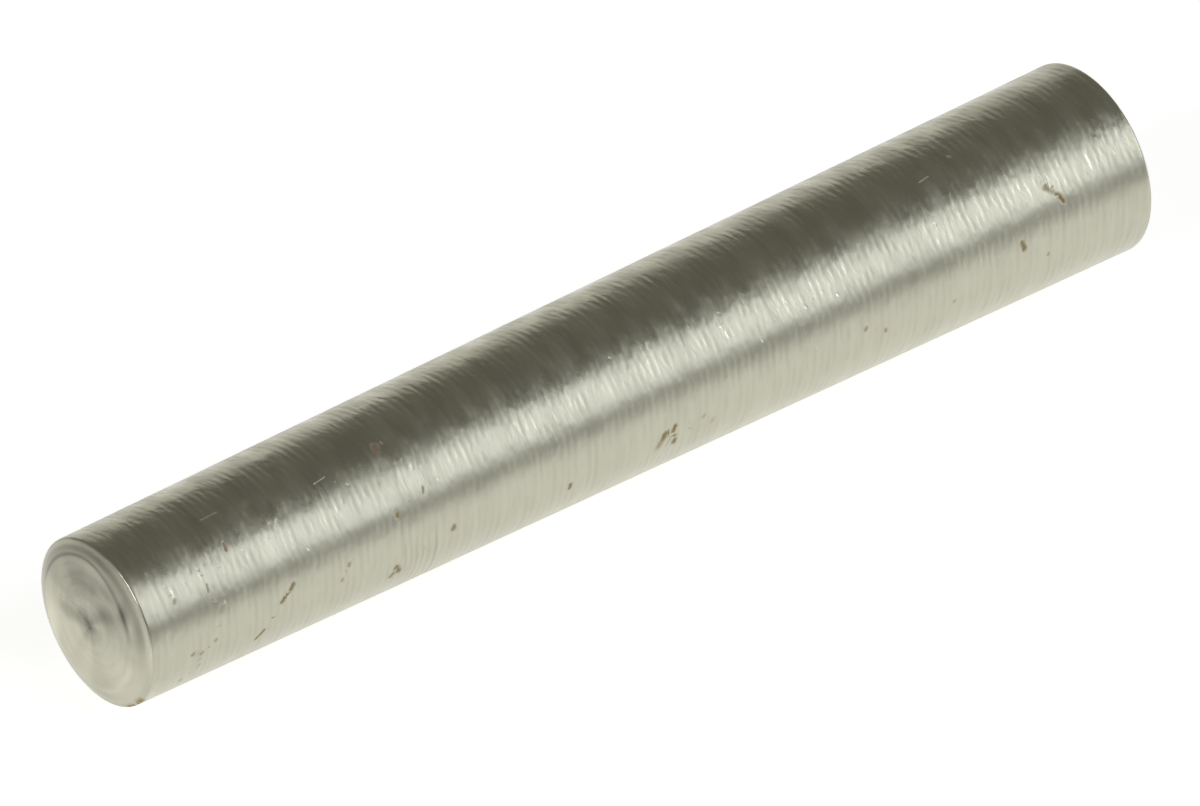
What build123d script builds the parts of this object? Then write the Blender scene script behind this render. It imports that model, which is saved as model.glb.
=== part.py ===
from build123d import *
from math import sqrt
import os

# Plain taper pin: one piece of steel bar, turned to a taper of 1 in 50, crowned at both ends and faced off
# nearly flat in the middle of the small end, where it was parted from the bar. The pin lies along X with its
# small end towards -X. The origin is the gauge point of the taper, the middle of the small end's rim plane,
# where the diameter is the nominal one. All sizes are in millimetres.

# Tapered flank
small_diameter = 5.0  # nominal size, at the small end's rim
flank_length = 35.0  # along the axis, from rim to rim
taper_ratio = 50.0  # length over which the diameter grows by one

# Crowned ends
crown_height = 0.63  # of a whole crown above its rim
rim_round = 0.08  # broken edge between the flank and a crown

# Small end, faced off inside a turned ring
shoulder_width = 0.42  # of the crown that is left outside the ring
face_rise = 0.05  # swell of the faced middle towards the axis
ring_width = 0.14  # of the groove between the crown and the faced middle
ring_depth = 0.03

# Dimple that the parting tool left on the small end's axis
dimple_diameter = 0.30
dimple_depth = 0.05


def arc_radius(chord, rise):
    """Radius of the arc that stands on a chord and rises above it by the given height."""
    return (chord**2 / 4 + rise**2) / (2 * rise)


# Radii at the rims, and of the turned ring
small_radius = small_diameter / 2
large_radius = small_radius + flank_length / taper_ratio / 2
ring_radius = small_radius - shoulder_width

# Places along the axis: the edge and the top of the faced middle, and the top of the large end's crown
small_crown_radius = arc_radius(small_diameter, crown_height)
face_edge_x = small_crown_radius - crown_height - sqrt(small_crown_radius**2 - ring_radius**2)
face_top_x = face_edge_x - face_rise
large_top_x = flank_length + crown_height

# Round noses of the cutters that made the ring and the dimple
ring_cutter_radius = arc_radius(ring_width, ring_depth)
dimple_cutter_radius = arc_radius(dimple_diameter, dimple_depth)

with BuildPart() as taper_pin:
    # Half section through the axis
    with BuildSketch(Plane.XY) as half_section:
        with BuildLine():
            flank = Line((0, small_radius), (flank_length, large_radius))
            shoulder = RadiusArc(flank @ 0, (face_edge_x, ring_radius), -small_crown_radius)
            face = TangentArc((face_top_x, 0), shoulder @ 1, tangent=(0, 1))
            large_crown = TangentArc((large_top_x, 0), flank @ 1, tangent=(0, 1))
            Line(face @ 0, large_crown @ 0)
        make_face()

        # Broken edges at the two corners farthest from the axis, where the flank meets the crowns
        rims = half_section.vertices().sort_by(Axis.Y)[-2:]
        fillet(rims, radius=rim_round)

        # Ring between the crown and the faced middle, and the dimple on the axis
        with Locations((face_edge_x + ring_depth - ring_cutter_radius, ring_radius)):
            Circle(ring_cutter_radius, mode=Mode.SUBTRACT)
        with Locations((face_top_x + dimple_depth - dimple_cutter_radius, 0)):
            Circle(dimple_cutter_radius, mode=Mode.SUBTRACT)
    revolve(axis=Axis.X)

taper_pin.part.label = "taper_pin"

os.makedirs("parts", exist_ok=True)
export_step(taper_pin.part, "parts/taper_pin.step")
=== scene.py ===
import math

import bmesh
import bpy
from bpy.props import FloatProperty, FloatVectorProperty, IntProperty, PointerProperty
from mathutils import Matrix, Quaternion, Vector


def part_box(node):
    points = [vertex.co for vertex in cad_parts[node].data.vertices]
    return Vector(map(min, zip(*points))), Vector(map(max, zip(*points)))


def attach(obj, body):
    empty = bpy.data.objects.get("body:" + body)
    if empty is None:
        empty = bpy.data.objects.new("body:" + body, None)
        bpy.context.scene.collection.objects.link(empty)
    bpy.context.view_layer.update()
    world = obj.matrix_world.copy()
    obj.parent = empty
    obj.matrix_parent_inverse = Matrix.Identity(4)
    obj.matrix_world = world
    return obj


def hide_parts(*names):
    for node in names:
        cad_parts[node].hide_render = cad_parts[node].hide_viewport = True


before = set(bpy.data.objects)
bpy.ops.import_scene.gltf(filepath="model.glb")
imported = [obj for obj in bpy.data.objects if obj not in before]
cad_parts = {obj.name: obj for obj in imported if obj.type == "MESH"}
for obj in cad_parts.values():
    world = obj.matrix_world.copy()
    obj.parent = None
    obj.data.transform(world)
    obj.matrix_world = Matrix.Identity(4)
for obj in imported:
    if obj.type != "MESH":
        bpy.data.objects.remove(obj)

# Taper pin: one bar of turned steel with rust pits and nicks, lying on a pale light table. The pin's own
# piece stands for the CAD node. It has the same section, with the marks of turning and wear cut into it.

bl_info = {
    "name": "Turned Taper Pin",
    "version": (1, 0, 0),
    "blender": (4, 5, 0),
    "location": "View3D > Sidebar > Taper Pin",
    "description": "Turns the packed taper pin from bar steel and sets it on a pale light table",
    "category": "Object",
}

MM = 0.001
TAU = math.tau
PIN_NODE = "taper_pin"
PIN_PIECE = "turned_pin"

# Attributes of the mesh: distance along the section, and run and size of the mark next to a point
TRACK_LAYER = "track"
MARK_LAYERS = ("mark_start", "mark_end", "mark_size")

# The photograph's frame, and where the middle of the pin lies in it
PHOTO_WIDTH = 1200
PHOTO_HEIGHT = 806
PIN_MIDDLE_PIXEL = (598.8, 386.7)

CAD_LOW, CAD_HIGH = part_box(PIN_NODE)
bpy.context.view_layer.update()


class PinSizes(bpy.types.PropertyGroup):
    """Driving sizes of the pin's section. Its length comes from the frame."""

    small_diameter: FloatProperty(
        name="Small diameter", description="Across the small end's rim", default=5.0 * MM, unit="LENGTH"
    )
    taper_ratio: FloatProperty(
        name="Taper ratio", description="Length over which the diameter grows by one", default=50.0
    )
    crown_height: FloatProperty(
        name="Crown height", description="Of a whole crown above its rim", default=0.63 * MM, unit="LENGTH"
    )
    rim_round: FloatProperty(
        name="Rim round", description="Radius of the broken edges", default=0.08 * MM, unit="LENGTH"
    )
    shoulder_width: FloatProperty(
        name="Shoulder width", description="From rim to turned ring", default=0.42 * MM, unit="LENGTH"
    )
    face_rise: FloatProperty(
        name="Face rise", description="Swell of the faced middle", default=0.05 * MM, unit="LENGTH"
    )
    ring_width: FloatProperty(
        name="Ring width", description="Of the turned ring", default=0.16 * MM, unit="LENGTH"
    )
    ring_depth: FloatProperty(
        name="Ring depth", description="Of the turned ring", default=0.005 * MM, unit="LENGTH"
    )
    dimple_diameter: FloatProperty(
        name="Dimple diameter", description="Of the mark on the axis", default=0.30 * MM, unit="LENGTH"
    )
    dimple_depth: FloatProperty(
        name="Dimple depth", description="Of the mark on the axis", default=0.02 * MM, unit="LENGTH"
    )
    edge_wear: FloatProperty(
        name="Edge wear", description="Softness of the face's edge", default=0.09 * MM, unit="LENGTH"
    )
    segments: IntProperty(name="Segments", description="Faces round the pin", default=144, min=12)


class TurningMarks(bpy.types.PropertyGroup):
    """The grooves that the turning tool left, and the wear and rust pits that came later."""

    pitch: FloatProperty(
        name="Feed pitch", description="Travel of the tool in one turn", default=0.24 * MM, unit="LENGTH"
    )
    depth: FloatProperty(
        name="Feed depth", description="Of the groove between two ridges", default=0.001 * MM, unit="LENGTH"
    )
    rings_per_turn: IntProperty(
        name="Rings per turn", description="Mesh rings in one feed pitch", default=4
    )
    seed: IntProperty(name="Seed", description="Of the uneven depth along the pin", default=7)
    wear: FloatProperty(
        name="Wear", description="Metal lost all over the pin", default=0.005 * MM, unit="LENGTH"
    )
    pit_depth: FloatProperty(
        name="Pit depth", description="In the middle of a deep pit", default=0.012 * MM, unit="LENGTH"
    )


class SteelFinish(bpy.types.PropertyGroup):
    """Colours and gloss of the turned steel."""

    steel: FloatVectorProperty(
        name="Steel", description="Reflected tint", default=(0.478, 0.467, 0.374), subtype="COLOR", size=3
    )
    rust: FloatVectorProperty(
        name="Rust", description="Round the pits", default=(0.40, 0.335, 0.16), subtype="COLOR", size=3
    )
    old_rust: FloatVectorProperty(
        name="Old rust", description="In the pits", default=(0.20, 0.148, 0.056), subtype="COLOR", size=3
    )
    red_rust: FloatVectorProperty(
        name="Red rust", description="High on the pin", default=(0.17, 0.08, 0.033), subtype="COLOR", size=3
    )
    roughness: FloatProperty(
        name="Roughness", description="Of the bright steel", default=0.303, subtype="FACTOR"
    )


class LightTable(bpy.types.PropertyGroup):
    """The pale floor, the soft lights and the camera."""

    floor_tone: FloatVectorProperty(
        name="Floor", description="Colour of the table", default=(0.80, 0.80, 0.80), subtype="COLOR", size=3
    )
    floor_glow: FloatProperty(name="Glow", description="Light from under the table", default=0.91)
    room: FloatVectorProperty(
        name="Room", description="Light of the room", default=(0.183, 0.18, 0.159), subtype="COLOR", size=3
    )
    camera_distance: FloatProperty(
        name="Distance", description="From the camera to the pin", default=0.6276, unit="LENGTH"
    )
    camera_heading: FloatProperty(
        name="Heading",
        description="Turn of the view from the pin's axis",
        default=math.radians(51.18),
        subtype="ANGLE",
        unit="ROTATION",
    )
    camera_dip: FloatProperty(
        name="Dip",
        description="Of the view below the level",
        default=math.radians(35.8),
        subtype="ANGLE",
        unit="ROTATION",
    )
    pixels_per_mm: FloatProperty(
        name="Scale", description="Pixels of the frame to a millimetre", default=36.27
    )


class Wire:
    """A node socket that adds Math nodes to its tree when it is used in an expression."""

    def __init__(self, sheet, socket):
        self.sheet = sheet
        self.socket = socket

    def out(self, name):
        """Another output of the same node."""
        return Wire(self.sheet, self.socket.node.outputs[name])

    def math(self, operation, *others):
        """One Math node with this socket first."""
        values = dict(enumerate((self, *others)))
        return self.sheet.add("ShaderNodeMath", {"operation": operation}, values)

    def __add__(self, other):
        return self.math("ADD", other)

    def __sub__(self, other):
        return self.math("SUBTRACT", other)

    def __rsub__(self, other):
        return self.sheet.add("ShaderNodeMath", {"operation": "SUBTRACT"}, {0: other, 1: self})

    def __mul__(self, other):
        return self.math("MULTIPLY", other)

    def __truediv__(self, other):
        return self.math("DIVIDE", other)

    def __neg__(self):
        return self.math("MULTIPLY", -1.0)

    __radd__ = __add__
    __rmul__ = __mul__

    def step(self, low, high, start=0.0, end=1.0):
        """A smooth step from start at low to end at high."""
        return self.sheet.add(
            "ShaderNodeMapRange",
            {"interpolation_type": "SMOOTHSTEP"},
            {"Value": self, "From Min": low, "From Max": high, "To Min": start, "To Max": end},
        )


class Sheet:
    """A node tree that is filled from Python."""

    def __init__(self, tree):
        self.tree = tree
        tree.nodes.clear()

    def add(self, kind, settings=None, sockets=None, out=0):
        """Adds a node: first its settings, then the values or wires of its sockets."""
        node = self.tree.nodes.new(kind)
        for name, value in (settings or {}).items():
            setattr(node, name, value)
        for name, value in (sockets or {}).items():
            if isinstance(value, Wire):
                self.tree.links.new(value.socket, node.inputs[name])
            else:
                node.inputs[name].default_value = value
        return Wire(self, node.outputs[out]) if node.outputs else node

    def vectors(self, operation, *sockets, out=0, **named):
        """One Vector Math node, its sockets in order, then the named ones."""
        values = {**dict(enumerate(sockets)), **named}
        return self.add("ShaderNodeVectorMath", {"operation": operation}, values, out)

    def vector(self, x, y, z):
        """Three values as one vector."""
        return self.add("ShaderNodeCombineXYZ", sockets={"X": x, "Y": y, "Z": z})

    def split(self, vector):
        """The three values of a vector."""
        parts = self.add("ShaderNodeSeparateXYZ", sockets={"Vector": vector})
        return parts, parts.out("Y"), parts.out("Z")

    def noise(self, vector, detail=2.0, roughness=0.5):
        """Smooth noise from about 0.2 to 0.8, with one swell to each unit of the vector."""
        return self.add(
            "ShaderNodeTexNoise",
            sockets={"Vector": vector, "Scale": 1.0, "Detail": detail, "Roughness": roughness},
        )

    def mark_depth(self, place, start, end, width):
        """How deep a place lies in a mark from start to end: one on its spine, zero at its edge."""
        run = self.vectors("SUBTRACT", end, start)
        gap = self.vectors("SUBTRACT", place, start)
        along = self.vectors("DOT_PRODUCT", gap, run, out="Value")
        whole = self.vectors("DOT_PRODUCT", run, run, out="Value")
        share = (along / whole).math("MAXIMUM", 0.0).math("MINIMUM", 1.0)
        aside = self.vectors("SUBTRACT", gap, self.vectors("SCALE", run, Scale=share))
        return 1 - self.vectors("LENGTH", aside, out="Value") / width

    def blend(self, factor, first, second):
        """Mixes two colours."""
        return self.add("ShaderNodeMix", {"data_type": "RGBA"}, {0: factor, 6: first, 7: second}, out=2)


# Section of the pin

# Rings of the mesh on each part of the section
DIMPLE_RINGS = 5
FACE_RINGS = 25
GROOVE_RINGS = 9
SHOULDER_RINGS = 6
RIM_RINGS = 6
CROWN_RINGS = 22


def arc_radius(chord, rise):
    """Radius of the arc that stands on a chord and rises above it by the given height."""
    return (chord**2 / 4 + rise**2) / (2 * rise)


def spread(start, end, steps):
    """Evenly spaced values from start up to, but not with, end."""
    return [start + (end - start) * i / steps for i in range(steps)]


def rim_arc(sizes, crown_centre, crown_radius, side):
    """Points of the broken edge between a crown and the flank, from the crown to the flank."""
    slope = 1 / (2 * sizes.taper_ratio)

    # The edge's centre lies on a line inside the flank, and inside the crown by the same radius
    level = sizes.small_diameter / 2 - sizes.rim_round * math.hypot(1, slope)
    reach = crown_radius - sizes.rim_round
    a = 1 + slope**2
    b = 2 * (level * slope - crown_centre)
    c = crown_centre**2 + level**2 - reach**2
    x = (-b + side * math.sqrt(b * b - 4 * a * c)) / (2 * a)
    radius = level + slope * x

    from_crown = math.atan2(radius, x - crown_centre)
    from_flank = math.atan2(1, -slope)
    angles = spread(from_crown, from_flank, RIM_RINGS) + [from_flank]
    return [(x + sizes.rim_round * math.cos(t), radius + sizes.rim_round * math.sin(t)) for t in angles]


def small_end(sizes, crown_centre, crown_radius, last_radius):
    """Points of the small end from the axis outwards: dimple, faced middle, ring and shoulder."""
    ring_radius = sizes.small_diameter / 2 - sizes.shoulder_width
    edge_x = crown_centre - math.sqrt(crown_radius**2 - ring_radius**2)
    top_x = edge_x - sizes.face_rise
    face_radius = arc_radius(2 * ring_radius, sizes.face_rise)
    grooves = (
        (ring_radius, sizes.ring_width, sizes.ring_depth),
        (0.0, sizes.dimple_diameter, sizes.dimple_depth),
    )

    def place(radius):
        """Where the worn end lies along the axis, at a distance from it."""
        face = top_x + face_radius - math.sqrt(face_radius**2 - radius**2)
        crown = crown_centre - math.sqrt(crown_radius**2 - radius**2)
        overlap = max(sizes.edge_wear - abs(face - crown), 0.0)
        x = max(face, crown) + overlap**2 / (4 * sizes.edge_wear)
        for middle, width, cut in grooves:
            share = min(abs(radius - middle) / (width / 2), 1.0)
            x += cut * (1 - share * share) ** 2
        return x

    dimple_edge = sizes.dimple_diameter / 2
    ring_inside = ring_radius - sizes.ring_width
    ring_outside = ring_radius + sizes.ring_width
    radii = spread(0.0, dimple_edge, DIMPLE_RINGS)
    radii += spread(dimple_edge, ring_inside, FACE_RINGS)
    radii += spread(ring_inside, ring_outside, GROOVE_RINGS)
    radii += spread(ring_outside, last_radius, SHOULDER_RINGS)
    return [(place(radius), radius) for radius in radii]


def half_section(sizes, marks):
    """Points of the pin's section, from the small end's axis round to the large end's."""
    slope = 1 / (2 * sizes.taper_ratio)
    flank_length = CAD_HIGH.x - sizes.crown_height
    large_diameter = sizes.small_diameter + flank_length / sizes.taper_ratio
    small_crown = arc_radius(sizes.small_diameter, sizes.crown_height)
    large_crown = arc_radius(large_diameter, sizes.crown_height)
    small_centre = small_crown - sizes.crown_height
    large_centre = CAD_HIGH.x - large_crown

    small_rim = rim_arc(sizes, small_centre, small_crown, -1)
    large_rim = rim_arc(sizes, large_centre, large_crown, 1)
    first_x = small_rim[-1][0]
    last_x = large_rim[-1][0]
    rings = round((last_x - first_x) / (marks.pitch / marks.rings_per_turn))
    flank = [(x, sizes.small_diameter / 2 + slope * x) for x in spread(first_x, last_x, rings)[1:]]
    crown_edge = math.atan2(large_rim[0][1], large_rim[0][0] - large_centre)
    crown = [
        (large_centre + large_crown * math.cos(t), large_crown * math.sin(t))
        for t in spread(crown_edge, 0.0, CROWN_RINGS)[1:]
    ]
    end = small_end(sizes, small_centre, small_crown, small_rim[0][1])
    return end + small_rim + flank + large_rim[::-1] + crown + [(CAD_HIGH.x, 0.0)]


# Helper objects that the modifier reads


def line_object(name, points, runs):
    """A mesh of loose edges, one chain of points for each run."""
    mesh = bpy.data.meshes.new(name)
    mesh.from_pydata(points, [(i, i + 1) for run in runs for i in run[:-1]], [])
    thing = bpy.data.objects.new(name, mesh)
    bpy.context.scene.collection.objects.link(thing)
    return thing


def section_object(points):
    """The half section as a chain of edges, with the distance along it on each point."""
    thing = line_object("half_section", [(x, r, 0.0) for x, r in points], [range(len(points))])
    track = thing.data.attributes.new(TRACK_LAYER, "FLOAT", "POINT")
    gone = 0.0
    last = points[0]
    for i, point in enumerate(points):
        gone += math.dist(last, point)
        track.data[i].value = gone
        last = point
    return thing


# Rust pits: distance from the small end's rim in mm, angle up from level in degrees as seen from the front,
# how far the pit runs on along the pin in mm and round it in degrees, its reach to either side in mm, and
# its strength
PITS = (
    (31.59, 37.5, 0.03, -1.0, 0.095, 0.50),
    (31.76, 34.0, 0.03, -1.0, 0.080, 0.42),
    (31.97, 29.0, 0.07, -3.5, 0.075, 0.95),
    (30.40, 13.0, 0.04, -4.0, 0.090, 0.80),
    (31.28, -2.4, 0.02, 0.5, 0.055, 0.50),
    (27.92, -5.1, 0.02, 0.5, 0.060, 0.40),
    (24.77, 4.0, 0.03, 1.0, 0.070, 0.50),
    (25.48, -2.5, 0.02, -1.0, 0.070, 0.50),
    (19.04, -4.7, 0.02, 1.0, 0.080, 0.25),
    (19.39, -11.6, 0.02, 1.0, 0.080, 0.25),
    (17.66, -6.5, 0.05, 2.0, 0.110, 0.85),
    (17.99, -4.8, 0.06, 3.0, 0.085, 0.90),
    (18.05, -14.5, 0.03, 1.5, 0.095, 0.90),
    (17.50, -12.5, 0.06, 2.0, 0.120, 0.45),
    (14.40, -12.6, 0.02, 2.5, 0.075, 0.85),
    (9.55, 30.0, 0.03, 3.0, 0.045, 0.60),
    (8.85, 66.0, 0.03, 3.0, 0.100, 0.74),
    (10.31, -1.5, 0.02, 1.0, 0.090, 0.65),
    (8.54, 23.2, 0.02, 1.0, 0.080, 0.85),
    (8.22, -19.0, 0.10, 2.0, 0.085, 0.65),
    (8.50, -17.0, -0.12, 5.0, 0.095, 0.85),
    (6.72, 6.5, 0.02, 1.0, 0.065, 0.45),
    (6.46, -2.0, 0.02, 0.5, 0.065, 0.40),
    (4.39, 2.4, 0.12, 2.5, 0.070, 0.85),
    (4.72, 9.0, 0.12, 2.5, 0.070, 0.75),
    (4.48, 70.8, 0.04, 1.0, 0.120, 0.12),
    (3.58, -19.6, 0.26, 5.4, 0.055, 1.00),
    (3.18, 49.5, 0.04, 4.5, 0.050, 0.65),
    (2.40, 16.0, 0.05, 2.0, 0.100, 0.30),
    (2.16, 30.5, 0.03, 4.5, 0.040, 0.45),
    (2.13, -3.4, 0.02, 0.5, 0.065, 0.40),
    (1.34, -6.5, 0.04, 0.5, 0.070, 0.50),
    (1.64, -9.0, 0.04, 0.5, 0.070, 0.45),
    (1.06, 33.4, 0.02, 1.0, 0.065, 0.45),
    (1.12, -29.3, 0.03, 1.0, 0.065, 0.40),
    (1.65, -20.1, 0.02, 1.0, 0.060, 0.35),
    (-0.04, -40.5, 0.00, 3.0, 0.130, 0.80),
    (-0.03, -56.0, 0.03, 7.0, 0.100, 0.90),
)

# Nicks on the flank, and glints on its ridges, in the same terms. Both are brightened as a painted
# highlight.
NICKS_AND_PAINTED_GLINTS = (
    (3.06, 74.2, 0.56, 0.3, 0.032, 0.70),
    (6.62, 63.1, 0.40, 1.1, 0.032, 0.70),
    (28.20, 71.5, 0.36, 1.2, 0.032, 0.85),
    (29.52, 79.5, 0.04, -1.0, 0.075, 1.00),
    (31.62, 45.0, 0.04, -3.0, 0.045, 1.00),
    (31.80, 44.0, 0.06, -4.0, 0.045, 1.00),
    (2.12, 46.5, 0.02, -1.0, 0.050, 0.90),
    (9.12, 69.3, 0.02, -1.0, 0.055, 0.90),
    (0.97, 45.4, 0.02, -1.0, 0.045, 0.70),
    (2.57, 20.6, 0.02, -1.0, 0.045, 0.70),
    (3.64, 45.4, 0.02, -1.0, 0.045, 0.60),
    (5.54, 29.2, 0.02, -1.0, 0.045, 0.70),
    (7.49, 54.2, 0.02, -1.0, 0.050, 0.80),
    (10.12, 34.2, 0.02, -1.0, 0.040, 0.60),
    (13.04, 44.6, 0.02, -1.5, 0.045, 0.60),
    (16.67, 55.5, 0.02, -1.0, 0.050, 0.70),
    (18.91, 44.8, 0.02, -1.0, 0.045, 0.80),
    (20.26, 43.6, 0.02, -1.0, 0.050, 0.85),
    (20.39, 52.0, 0.02, -1.0, 0.045, 0.70),
    (21.32, 27.0, 0.02, -1.0, 0.045, 0.70),
    (22.49, 41.2, 0.02, -1.0, 0.045, 0.75),
    (23.00, 33.9, 0.02, -1.0, 0.055, 1.00),
    (23.03, 9.0, 0.02, -2.5, 0.040, 0.45),
    (23.67, 38.0, 0.02, -1.0, 0.045, 0.85),
    (24.09, 32.7, 0.02, -1.0, 0.045, 0.80),
    (27.88, 45.6, 0.02, -1.0, 0.050, 0.85),
    (28.75, 44.0, 0.02, -1.5, 0.040, 0.55),
    (34.14, 39.5, 0.02, -1.5, 0.045, 0.55),
)

# Scratches on the small end: two places across the axis and up from it in mm, reach and strength
SCRATCHES = (
    (1.39, 0.29, 0.10, 0.44, 0.035, 0.8),
    (-1.08, -0.43, -0.82, -1.26, 0.035, 0.7),
    (-0.82, -1.26, -0.42, -1.88, 0.035, 0.7),
    (1.42, -1.05, 1.10, -1.50, 0.030, 0.6),
)

# Painted reflection on the small end: patches of painted shade, or painted highlights with a minus sign:
# place across the axis and up from it, reach both ways, all in mm, and the share of light that is lost
PAINTED_REFLECTION_PATCHES = (
    (0.42, 1.28, 0.95, 0.70, 0.24),
    (-0.60, 1.40, 0.70, 0.50, 0.14),
    (-0.70, 0.56, 0.66, 0.52, 0.34),
    (0.05, -0.02, 0.55, 0.64, 0.41),
    (0.42, 0.06, 0.50, 0.36, 0.20),
    (0.95, -0.04, 0.60, 0.38, 0.34),
    (-1.42, 1.05, 0.32, 0.66, 0.24),
    (-2.08, 0.80, 0.35, 0.70, 0.12),
    (1.75, -0.95, 0.45, 1.30, -0.26),
    (-1.30, -0.80, 0.90, 0.90, -0.12),
    (-0.60, 1.16, 0.48, 0.24, -0.10),
    (-0.20, -2.05, 0.90, 0.40, 0.08),
)

# Rings scored round the flank, in mm from the small end's rim: one all round, and fainter ones low on the
# front. Then how far each reaches to either side of its line, and how far it wanders along the pin.
SCORED_ROUND = 9.72
SCORED_BELOW = (8.68, 8.87, 9.06, 9.26, 9.46)
ROUND_REACH = 0.07
BELOW_REACH = 0.075
SCORED_WANDER = 0.24


def flank_point(sizes, x, angle):
    """A place on the flank in mm, at a distance from the small end's rim and an angle up from level."""
    turn = math.radians(angle)
    radius = sizes.small_diameter / MM / 2 + x / (2 * sizes.taper_ratio)
    return x, -radius * math.cos(turn), radius * math.sin(turn)


def marks_object(sizes):
    """Two loose points for each mark. Both carry its whole run, reach, strength and whether it is rusty."""
    face = (CAD_LOW.x + sizes.face_rise / 2) / MM
    runs = []
    for rusty, marks in ((1.0, PITS), (0.0, NICKS_AND_PAINTED_GLINTS)):
        for x, angle, along, around, reach, strength in marks:
            ends = flank_point(sizes, x, angle), flank_point(sizes, x + along, angle + around)
            runs.append((*ends, (reach, strength, rusty)))
    for y, z, last_y, last_z, reach, strength in SCRATCHES:
        runs.append(((face, y, z), (face, last_y, last_z), (reach, strength, 0.0)))
    points = [tuple(part * MM for part in end) for run in runs for end in run[:2]]
    thing = line_object("mark_points", points, [])
    for place, name in enumerate(MARK_LAYERS):
        layer = thing.data.attributes.new(name, "FLOAT_VECTOR", "POINT")
        for i in range(len(points)):
            layer.data[i].vector = runs[i // 2][place]
    return thing


# Geometry nodes

# Points of the wrapped grid nearer than this, in metres, become one, so that its seam and its poles close
MERGE_DISTANCE = 2e-8

# The feed marks fade in from the small end's rim over this length, and fade out over it before they stop
FEED_FADE = 0.3 * MM
FEED_STOP = CAD_HIGH.x - 0.65 * MM


def tree_inputs(tree, sizes, marks):
    """Gives the tree its output and its named inputs, and returns the inputs by name."""
    inputs = {}
    for name, kind, value in (
        ("Geometry", "NodeSocketGeometry", None),
        ("Segments", "NodeSocketInt", sizes.segments),
        ("Feed Pitch", "NodeSocketFloat", marks.pitch),
        ("Feed Depth", "NodeSocketFloat", marks.depth),
        ("Seed", "NodeSocketInt", marks.seed),
        ("Wear", "NodeSocketFloat", marks.wear),
        ("Marks", "NodeSocketObject", None),
        ("Pit Depth", "NodeSocketFloat", marks.pit_depth),
        ("Material", "NodeSocketMaterial", None),
    ):
        inputs[name] = tree.interface.new_socket(name, in_out="INPUT", socket_type=kind)
        if value is not None:
            inputs[name].default_value = value
    tree.interface.new_socket("Geometry", in_out="OUTPUT", socket_type="NodeSocketGeometry")
    return inputs


def read_layer(sheet, name, kind="FLOAT_VECTOR"):
    """The named attribute of the mesh."""
    return sheet.add("GeometryNodeInputNamedAttribute", {"data_type": kind}, {"Name": name})


def value_at(sheet, helper, value, point, kind="FLOAT_VECTOR"):
    """A value at one point of a helper mesh."""
    values = {"Geometry": helper, "Value": value, "Index": point}
    return sheet.add("GeometryNodeSampleIndex", {"data_type": kind}, values)


def keep_layer(sheet, body, name, value, kind="FLOAT_VECTOR"):
    """Keeps a value on every point of the surface as a named attribute."""
    values = {"Geometry": body, "Name": name, "Value": value}
    return sheet.add("GeometryNodeStoreNamedAttribute", {"data_type": kind}, values)


def sink(sheet, body, normal, depth):
    """Moves the surface inwards by a depth."""
    offset = sheet.vectors("SCALE", normal, Scale=-depth)
    return sheet.add("GeometryNodeSetPosition", sockets={"Geometry": body, "Offset": offset})


def phase_of(along, y, z, pitch):
    """Turns of the bar since the tool set out, at a place along and round it."""
    return along / pitch + z.math("ARCTAN2", y) / TAU


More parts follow.
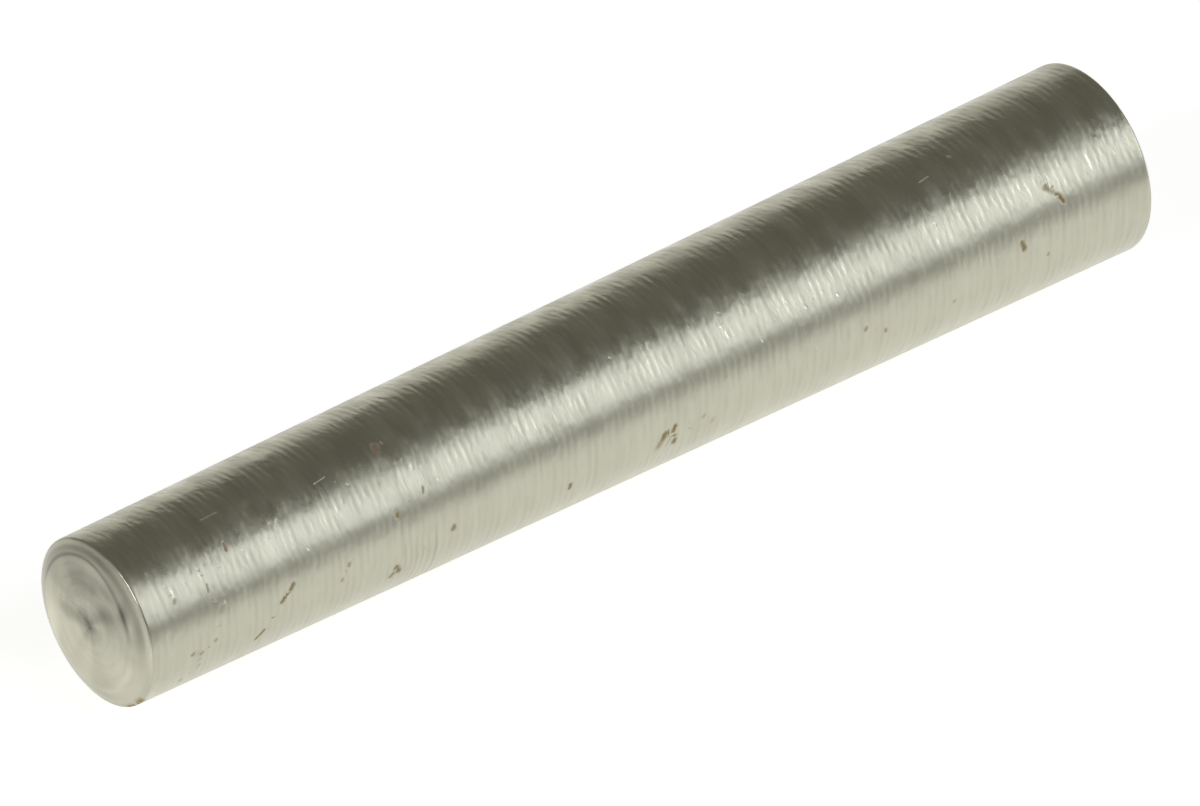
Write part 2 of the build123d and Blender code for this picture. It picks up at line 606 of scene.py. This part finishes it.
def turning_tree(sizes, marks):
    """A tree that turns the half section about X, and cuts the feed marks and the rust pits into it."""
    tree = bpy.data.node_groups.new("turned_from_bar", "GeometryNodeTree")
    inputs = tree_inputs(tree, sizes, marks)
    sheet = Sheet(tree)
    given = sheet.add("NodeGroupInput")

    # A grid with one row for each point of the section, wrapped about X with its faces outwards
    size = sheet.add("GeometryNodeAttributeDomainSize", sockets={"Geometry": given})
    columns = given.out("Segments") + 1
    grid = sheet.add("GeometryNodeMeshGrid", sockets={"Vertices X": size, "Vertices Y": columns})
    index = sheet.add("GeometryNodeInputIndex")
    row = ((index + 0.5) / columns).math("FLOOR")
    column = index - row * columns
    place = sheet.add("GeometryNodeInputPosition")
    on_section = value_at(sheet, given, place, row)
    on_track = value_at(sheet, given, read_layer(sheet, TRACK_LAYER, "FLOAT"), row, "FLOAT")
    x, radius, _ = sheet.split(on_section)
    turn = column / given.out("Segments") * -TAU
    wrapped = sheet.vector(x, radius * turn.math("COSINE"), radius * turn.math("SINE"))
    body = keep_layer(sheet, grid, TRACK_LAYER, on_track, "FLOAT")
    body = sheet.add("GeometryNodeSetPosition", sockets={"Geometry": body, "Position": wrapped})
    body = sheet.add("GeometryNodeMergeByDistance", sockets={"Geometry": body, "Distance": MERGE_DISTANCE})

    # Feed marks: one groove that winds along the flank, deeper in some places than in others
    x, y, z = sheet.split(place)
    phase = phase_of(x, y, z, given.out("Feed Pitch"))
    ridge = (phase * TAU).math("COSINE") * 0.5 + 0.5
    patches = sheet.add(
        "ShaderNodeTexNoise",
        {"noise_dimensions": "4D"},
        {"Vector": sheet.vector(x / MM, 0.0, 0.0), "W": given.out("Seed"), "Scale": 0.6, "Detail": 1.0},
    )
    on_flank = x.step(0.0, FEED_FADE) * x.step(FEED_STOP - FEED_FADE, FEED_STOP, 1.0, 0.0)
    groove = (1 - ridge) * on_flank * patches.step(0.3, 0.7, 0.3, 1.0) * given.out("Feed Depth")
    normal = sheet.add("GeometryNodeInputNormal")
    body = sink(sheet, body, normal, groove + given.out("Wear"))

    # Every point keeps the run and the size of the mark next to it, and the rust pits are cut
    helper = sheet.add("GeometryNodeObjectInfo", sockets={"Object": given.out("Marks")}, out="Geometry")
    nearest = sheet.add("GeometryNodeSampleNearest", {"domain": "POINT"}, {"Geometry": helper})
    kept = []
    for name in MARK_LAYERS:
        value = value_at(sheet, helper, read_layer(sheet, name), nearest)
        body = keep_layer(sheet, body, name, value)
        kept.append(read_layer(sheet, name))
    start, end, size = kept
    reach, strength, rusty = sheet.split(size)
    in_mm = sheet.vectors("SCALE", place, Scale=1 / MM)
    pit = sheet.mark_depth(in_mm, start, end, reach).step(0.0, 1.0) * strength * rusty
    body = sink(sheet, body, normal, pit * given.out("Pit Depth"))

    body = sheet.add("GeometryNodeSetShadeSmooth", sockets={"Geometry": body})
    body = sheet.add("GeometryNodeRealizeInstances", sockets={"Geometry": body})
    steel = given.out("Material")
    body = sheet.add("GeometryNodeSetMaterial", sockets={"Geometry": body, "Material": steel})
    sheet.add("NodeGroupOutput", sockets={"Geometry": body})
    return tree, inputs


# Turned steel

# Heights and depths of the fine marks in mm. They are bump only, because they are finer than the mesh.
TEAR_HEIGHT = 0.006
SCUFF_HEIGHT = 0.009
SWELL_HEIGHT = 0.014
WAVE_HEIGHT = 0.008
FEED_DEPTH = 0.0066
SCORED_DEPTH = 0.004
RUST_DEPTH = 0.005
NICK_DEPTH = 0.006

# Shares of light that the steel loses in a mark, and as painted shade on the underside near the table; and
# the painted highlight gained on a nick or glint
FEED_LOSS = 0.04
PAINTED_UNDERSIDE_SHADE = 0.05
SCORED_LOSS = 0.20
PAINTED_GLINT_GAIN = 0.45

# What a mark adds to the roughness
FEED_ROUGHNESS = 0.06
RUST_ROUGHNESS = 0.35
NICK_ROUGHNESS = 0.15

# The small end: its base tone; painted shade at its top; the share of light that it loses on the
# shoulder; painted shade in the dimple; and painted shade along the edge of the cut high up, with a painted
# highlight low down
CUT_TONE = 1.10
PAINTED_TOP_SHADE = 0.37
SHOULDER_LOSS = 0.10
PAINTED_DIMPLE_SHADE = 0.14
PAINTED_EDGE_SHADE = 0.27
PAINTED_LOW_EDGE_HIGHLIGHT = -0.08


class BarPlace:
    """A place of the steel in mm: along the bar, across it, up it, off its axis, and along its section."""

    def __init__(self, sheet):
        self.sheet = sheet
        self.place = sheet.vectors("SCALE", sheet.add("ShaderNodeTexCoord", out="Object"), Scale=1 / MM)
        self.x, self.y, self.z = sheet.split(self.place)
        self.radius = (self.y * self.y + self.z * self.z).math("SQRT")
        self.track = sheet.add("ShaderNodeAttribute", {"attribute_name": TRACK_LAYER}, out="Fac") / MM

    def streaks(self, fineness, bend, shift, detail=1.0, roughness=0.5):
        """Noise drawn out round the bar: marks per mm along the section and per mm round it.

        The shift gives each use a part of the noise of its own.
        """
        spot = self.sheet.vector(self.track * fineness + shift, self.y * bend, self.z * bend)
        return self.sheet.noise(spot, detail, roughness)


def tool_marks(bar, pitch):
    """How deep a place lies in the feed groove, from zero to one, and the height of the tool's marks."""
    sheet = bar.sheet
    drift = sheet.noise(sheet.vector(bar.track * 0.9, 0.0, 0.0), 1.0) * 0.5
    phase = phase_of(bar.track, bar.y, bar.z, pitch) + drift
    each = bar.streaks(2.4, 1.8, 5.0).step(0.38, 0.62, 0.10, 1.0)
    groove = ((phase * TAU).math("COSINE") * 0.5 + 0.5) * each
    scuffs = bar.streaks(0.8, 0.45, 23.0, 2.0).step(0.38, 0.58)
    tears = bar.streaks(6.5, 2.4, 11.0) * (scuffs * SCUFF_HEIGHT + TEAR_HEIGHT)
    swells = bar.streaks(2.3, 1.3, 59.0) * SWELL_HEIGHT
    waves = bar.streaks(1.0, 0.5, 71.0, 1.0, 0.6) * WAVE_HEIGHT
    return groove, tears + swells + waves - groove * FEED_DEPTH


def scored_rings(bar):
    """Strength of the rings scored round the flank, which wander a little."""
    x, y, z = bar.x, bar.y, bar.z
    wander = bar.sheet.noise(bar.sheet.vector(x * 0.3, y * 0.9, z * 0.9), 1.0) * SCORED_WANDER
    wander = wander - SCORED_WANDER / 2
    front = y.step(-0.5, 0.5, 1.0, 0.0)
    low = z.step(-0.3, 0.5, 1.0, 0.0) * front
    scored = (x + wander - SCORED_ROUND).math("ABSOLUTE").step(0.0, ROUND_REACH, 1.0, 0.0)
    scored = scored * (low * 0.6 + 0.4)
    for ring in SCORED_BELOW:
        scored = scored + (x + wander - ring).math("ABSOLUTE").step(0.0, BELOW_REACH, 0.6, 0.0) * low
    return scored


def pits_nicks_and_glints(bar):
    """How deep a place lies in a pit with ragged edges, how rusty it is, and how deep in a nick or glint,
    which carries a painted highlight.
    """
    sheet = bar.sheet
    start, end, size = (
        sheet.add("ShaderNodeAttribute", {"attribute_name": name}, out="Vector") for name in MARK_LAYERS
    )
    reach, strength, kind = sheet.split(size)
    depth = sheet.mark_depth(bar.place, start, end, reach)
    ragged = sheet.noise(sheet.vectors("SCALE", bar.place, Scale=11.0), 3.0, 0.6) - 0.5
    pit = depth + ragged * 1.5
    rusty = pit.step(-0.60, 0.60) * strength * kind
    nick_and_glint = depth.step(0.0, 0.7) * strength * (1 - kind)
    return pit, rusty, nick_and_glint


def cut_end(bar):
    """Where the small end is, and its tone with painted light: painted reflection of the lay of the cut,
    tone rings, and painted shade and highlights along its edge, in the dimple, at its top and in patches.
    """
    sheet = bar.sheet
    y, z, radius = bar.y, bar.z, bar.radius
    end_face = bar.x.step(-0.12, -0.04, 1.0, 0.0)
    inside = radius.step(1.95, 2.20, 1.0, 0.0)

    # Painted reflection of the lay of the cut in sectors, and tone in rings
    painted_lay_reflection = sheet.noise(sheet.vector(y / radius * 1.6, z / radius * 1.6, radius * 0.25), 1.0)
    painted_lay_reflection = painted_lay_reflection.step(0.35, 0.65, -0.07, 0.05)
    rings = sheet.noise(sheet.vector(radius * 4.5, y * 0.9, z * 0.9)).step(0.35, 0.65, -0.06, 0.05)

    # Painted shade along the edge of the cut high up, which winds inwards on the right, a painted highlight
    # along it low down, and painted shade in the dimple
    width = y.step(-1.6, 0.0, 0.20, 0.09)
    edge = (radius - y.step(-2.2, 0.4, 1.73, 2.08)).math("ABSOLUTE").step(0.0, width, 1.0, 0.0)
    painted_light_and_shade = edge * z.step(0.0, 0.8, PAINTED_LOW_EDGE_HIGHLIGHT, PAINTED_EDGE_SHADE) + radius.step(0.04, 0.24, PAINTED_DIMPLE_SHADE, 0.0)
    # Painted reflection: darker and brighter patches on the small end
    for across, up, wide, tall, loss in PAINTED_REFLECTION_PATCHES:
        aside = (y - across) / wide
        above = (z - up) / tall
        painted_light_and_shade = painted_light_and_shade + (aside * aside + above * above).math("SQRT").step(0.15, 1.15, loss, 0.0)

    # Painted shade: the small end is darker towards its top
    top = z.step(-0.9, 1.7, 0.0, PAINTED_TOP_SHADE)
    end_tone_and_painted_light = CUT_TONE + (painted_lay_reflection * 1.3 + rings * 0.7) * inside - painted_light_and_shade - top - (1 - inside) * SHOULDER_LOSS
    return end_face, end_tone_and_painted_light


def steel_material(finish, marks):
    """Turned steel: feed marks and tears round the bar, brown pits, nicks and glints with a painted
    highlight, scored rings, painted shade on the underside, and painted light on the small end.
    """
    material = bpy.data.materials.new("turned_steel")
    material.use_nodes = True
    sheet = Sheet(material.node_tree)
    bar = BarPlace(sheet)
    x, z = bar.x, bar.z

    # Relief in mm. The tool's marks are fainter on the small end, and below the top of the flank.
    flank = x.step(-0.12, 0.02, 0.3, 1.0)
    groove, height = tool_marks(bar, marks.pitch / MM)
    height = height * flank * z.step(1.0, 1.7, 0.6, 1.0)
    scored = scored_rings(bar)
    height = height - scored * SCORED_DEPTH
    pit, rusty, nick_and_glint = pits_nicks_and_glints(bar)
    height = height - (rusty * RUST_DEPTH + nick_and_glint * NICK_DEPTH)

    # Tone of the bare steel: fine and broad streaks, darker grooves, painted shade on the underside,
    # painted highlights on nicks and glints, and the cut end
    end_face, end_tone_and_painted_light = cut_end(bar)
    tone = bar.streaks(4.0, 0.4, 47.0, 2.0).step(0.3, 0.7, 0.955, 1.02)
    tone = tone + bar.streaks(1.5, 0.6, 97.0).step(0.3, 0.7, -0.035, 0.035) * z.step(0.2, 1.0)
    tone = tone - groove * flank * FEED_LOSS
    # Painted shade: darker on the underside near the table, most towards the small end
    tone = tone - z.step(-1.2, 0.4, PAINTED_UNDERSIDE_SHADE, 0.0) * x.step(3.0, 22.0, 1.0, 0.3)
    # Painted highlight: nicks and glints are brightened
    tone = tone * (1 - scored * SCORED_LOSS) * (1 + nick_and_glint * PAINTED_GLINT_GAIN)
    tone = tone * (1 - end_face) + end_tone_and_painted_light * end_face
    steel = sheet.vectors("SCALE", tuple(finish.steel), Scale=tone)

    # Rust, darker in the middle of a pit and redder high on the pin
    rust = sheet.blend(pit.step(0.0, 0.6), (*finish.rust, 1.0), (*finish.old_rust, 1.0))
    rust = sheet.blend(z.step(1.5, 2.1), rust, (*finish.red_rust, 1.0))
    color = sheet.blend(rusty, steel, rust)

    # Gloss, uneven in patches on the upper flank
    patchy = bar.streaks(1.6, 0.8, 83.0).step(0.3, 0.7, -0.05, 0.07) * z.step(1.0, 1.6)
    rough = finish.roughness + (groove * FEED_ROUGHNESS + patchy) * flank
    rough = rough + rusty * RUST_ROUGHNESS + nick_and_glint * NICK_ROUGHNESS

    bump = sheet.add("ShaderNodeBump", sockets={"Strength": 1.0, "Distance": MM, "Height": height})
    shader = sheet.add(
        "ShaderNodeBsdfPrincipled",
        sockets={"Base Color": color, "Roughness": rough, "Metallic": 1 - rusty, "Normal": bump},
    )
    sheet.add("ShaderNodeOutputMaterial", sockets={"Surface": shader})
    return material


def check_closed(mesh):
    """Raises an error unless a mesh is closed and its faces look outwards."""
    shape = bmesh.new()
    shape.from_mesh(mesh)
    closed = all(edge.is_manifold for edge in shape.edges)
    volume = shape.calc_volume(signed=True)
    shape.free()
    if not closed or volume <= 0:
        raise RuntimeError("the turned surface is not closed, or its faces look inwards")


class TAPERPIN_OT_turned_pin(bpy.types.Operator):
    """Turn the pin from its half section and cut its marks"""

    bl_idname = "taperpin.turned_pin"
    bl_label = "Turned Pin"

    def execute(self, context):
        sizes = context.scene.pin_sizes
        marks = context.scene.pin_marks
        section = section_object(half_section(sizes, marks))
        spots = marks_object(sizes)
        material = steel_material(context.scene.pin_finish, marks)
        tree, inputs = turning_tree(sizes, marks)
        modifier = section.modifiers.new("turned_from_bar", "NODES")
        modifier.node_group = tree
        for name, value in (("Marks", spots), ("Material", material)):
            modifier[inputs[name].identifier] = value
        graph = context.evaluated_depsgraph_get()
        mesh = bpy.data.meshes.new_from_object(
            section.evaluated_get(graph), preserve_all_data_layers=True, depsgraph=graph
        )
        if not mesh.polygons:
            raise RuntimeError("the half section gave no surface")
        check_closed(mesh)
        mesh.name = PIN_PIECE
        pin = bpy.data.objects.new(PIN_PIECE, mesh)
        context.scene.collection.objects.link(pin)
        for helper in (section, spots):
            bpy.data.objects.remove(helper)
        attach(pin, "root")
        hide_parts(PIN_NODE)
        return {"FINISHED"}


# Stage

# The frosted table: its reach each way in metres, and its gloss
TABLE_REACH = 3.0
TABLE_ROUGHNESS = 0.9
POLISH_WEIGHT = 0.9
POLISH_ROUGHNESS = 0.12

# Soft lights and lamps: name, heading from the pin's axis and height above the level in degrees, distance
# in metres, roll in degrees, width and height in metres, colour and radiance
LIGHTS = (
    ("front_light", -53.6, 29.1, 0.7, -12.0, 0.85, 0.504, (0.955, 1.0, 1.09), 1.265),
    ("side_lamp", -34.0, 20.5, 0.7, -12.0, 0.12, 0.24, (1.0, 1.0, 1.0), 4.5),
    ("upper_light", -80.0, 57.0, 0.7, -12.0, 0.40, 0.22, (0.97, 1.0, 1.04), 0.46),
    ("left_light", 176.0, 9.0, 0.9, 0.0, 0.8, 0.34, (0.96, 1.0, 1.05), 0.4),
    ("left_lamp", 194.0, 31.0, 0.7, 0.0, 0.24, 0.20, (1.0, 1.0, 1.0), 9.0),
    ("back_light", 56.0, 9.0, 1.2, 0.0, 1.8, 0.48, (1.0, 0.99, 0.95), 0.66),
)


def direction(heading, height):
    """The way to a heading from the pin's axis and a height above the level, both in radians."""
    level = math.cos(height)
    return Vector((math.cos(heading) * level, math.sin(heading) * level, math.sin(height)))


def soft_light(name, place, target, roll, width, height, color, radiance):
    """A rectangular soft light of a given brightness, turned to face a place and rolled about that line."""
    data = bpy.data.lights.new(name, "AREA")
    data.shape = "RECTANGLE"
    data.size = width
    data.size_y = height
    data.color = color
    data.energy = radiance * math.pi * width * height
    light = bpy.data.objects.new(name, data)
    light.location = place
    facing = (target - place).to_track_quat("-Z", "Y")
    light.rotation_euler = (facing @ Quaternion((0.0, 0.0, 1.0), roll)).to_euler()
    bpy.context.scene.collection.objects.link(light)


class TAPERPIN_OT_light_table(bpy.types.Operator):
    """Set the pale table, the soft lights and the camera"""

    bl_idname = "taperpin.light_table"
    bl_label = "Light Table"

    def execute(self, context):
        scene = context.scene
        table = scene.pin_table
        sizes = scene.pin_sizes
        middle = Vector(((CAD_HIGH.x - sizes.crown_height) / 2, 0.0, 0.0))
        self.floor(scene, table, sizes)
        self.lights(scene, table, middle)
        self.camera(scene, table, middle)
        return {"FINISHED"}

    def floor(self, scene, table, sizes):
        """A wide table that touches the underside of the flank all along."""
        slope = 1 / (2 * sizes.taper_ratio)
        ends = (-TABLE_REACH, TABLE_REACH)
        corners = [(x, y, -sizes.small_diameter / 2 - slope * x) for x in ends for y in ends]
        mesh = bpy.data.meshes.new("table")
        mesh.from_pydata(corners, [], [(0, 2, 3, 1)])
        floor = bpy.data.objects.new("table", mesh)
        material = bpy.data.materials.new("frosted_table")
        material.use_nodes = True
        sheet = Sheet(material.node_tree)
        shader = sheet.add(
            "ShaderNodeBsdfPrincipled",
            sockets={
                "Base Color": (*table.floor_tone, 1.0),
                "Roughness": TABLE_ROUGHNESS,
                "Specular IOR Level": 0.0,
                "Coat Weight": POLISH_WEIGHT,
                "Coat Roughness": POLISH_ROUGHNESS,
                "Emission Color": (*table.floor_tone, 1.0),
                "Emission Strength": table.floor_glow,
            },
        )
        sheet.add("ShaderNodeOutputMaterial", sockets={"Surface": shader})
        mesh.materials.append(material)
        scene.collection.objects.link(floor)

    def lights(self, scene, table, middle):
        """A dim room, with the soft lights and lamps round the pin."""
        world = bpy.data.worlds.new("room")
        world.use_nodes = True
        sheet = Sheet(world.node_tree)
        room = sheet.add("ShaderNodeBackground", sockets={"Color": (*table.room, 1.0), "Strength": 1.0})
        sheet.add("ShaderNodeOutputWorld", sockets={"Surface": room})
        scene.world = world
        for name, heading, height, distance, roll, width, tall, color, radiance in LIGHTS:
            place = middle + direction(math.radians(heading), math.radians(height)) * distance
            soft_light(name, place, middle, math.radians(roll), width, tall, color, radiance)

    def camera(self, scene, table, middle):
        """A long lens at the photograph's viewing angle."""
        ahead = direction(table.camera_heading, -table.camera_dip)
        right = ahead.cross(Vector((0.0, 0.0, 1.0))).normalized()
        up = right.cross(ahead)
        pixel = MM / table.pixels_per_mm
        aim = middle + right * (PHOTO_WIDTH / 2 - PIN_MIDDLE_PIXEL[0]) * pixel
        aim -= up * (PHOTO_HEIGHT / 2 - PIN_MIDDLE_PIXEL[1]) * pixel
        data = bpy.data.cameras.new("camera")
        data.sensor_fit = "HORIZONTAL"
        data.lens = data.sensor_width * table.camera_distance / (PHOTO_WIDTH * pixel)
        data.clip_start = 0.01
        data.clip_end = 20.0
        camera = bpy.data.objects.new("camera", data)
        camera.location = aim - ahead * table.camera_distance
        camera.rotation_euler = ahead.to_track_quat("-Z", "Y").to_euler()
        scene.collection.objects.link(camera)
        scene.camera = camera
        scene.view_settings.view_transform = "Standard"


class TAPERPIN_PT_panel(bpy.types.Panel):
    """The pin's sizes, finish and table"""

    bl_idname = "TAPERPIN_PT_panel"
    bl_label = "Taper Pin"
    bl_space_type = "VIEW_3D"
    bl_region_type = "UI"
    bl_category = "Taper Pin"

    def draw(self, context):
        for title, settings, operator in (
            ("Section", "pin_sizes", None),
            ("Marks", "pin_marks", None),
            ("Steel", "pin_finish", TAPERPIN_OT_turned_pin),
            ("Table", "pin_table", TAPERPIN_OT_light_table),
        ):
            box = self.layout.box()
            box.label(text=title)
            group = getattr(context.scene, settings)
            for name in group.__annotations__:
                box.prop(group, name)
            if operator:
                box.operator(operator.bl_idname)


SETTINGS = {
    "pin_sizes": PinSizes,
    "pin_marks": TurningMarks,
    "pin_finish": SteelFinish,
    "pin_table": LightTable,
}
CLASSES = (*SETTINGS.values(), TAPERPIN_OT_turned_pin, TAPERPIN_OT_light_table, TAPERPIN_PT_panel)


def register():
    for cls in CLASSES:
        bpy.utils.register_class(cls)
    for name, cls in SETTINGS.items():
        setattr(bpy.types.Scene, name, PointerProperty(type=cls))


def unregister():
    for name in SETTINGS:
        delattr(bpy.types.Scene, name)
    for cls in reversed(CLASSES):
        bpy.utils.unregister_class(cls)


def main():
    register()
    bpy.ops.taperpin.turned_pin()
    bpy.ops.taperpin.light_table()


if __name__ == "__main__":
    main()
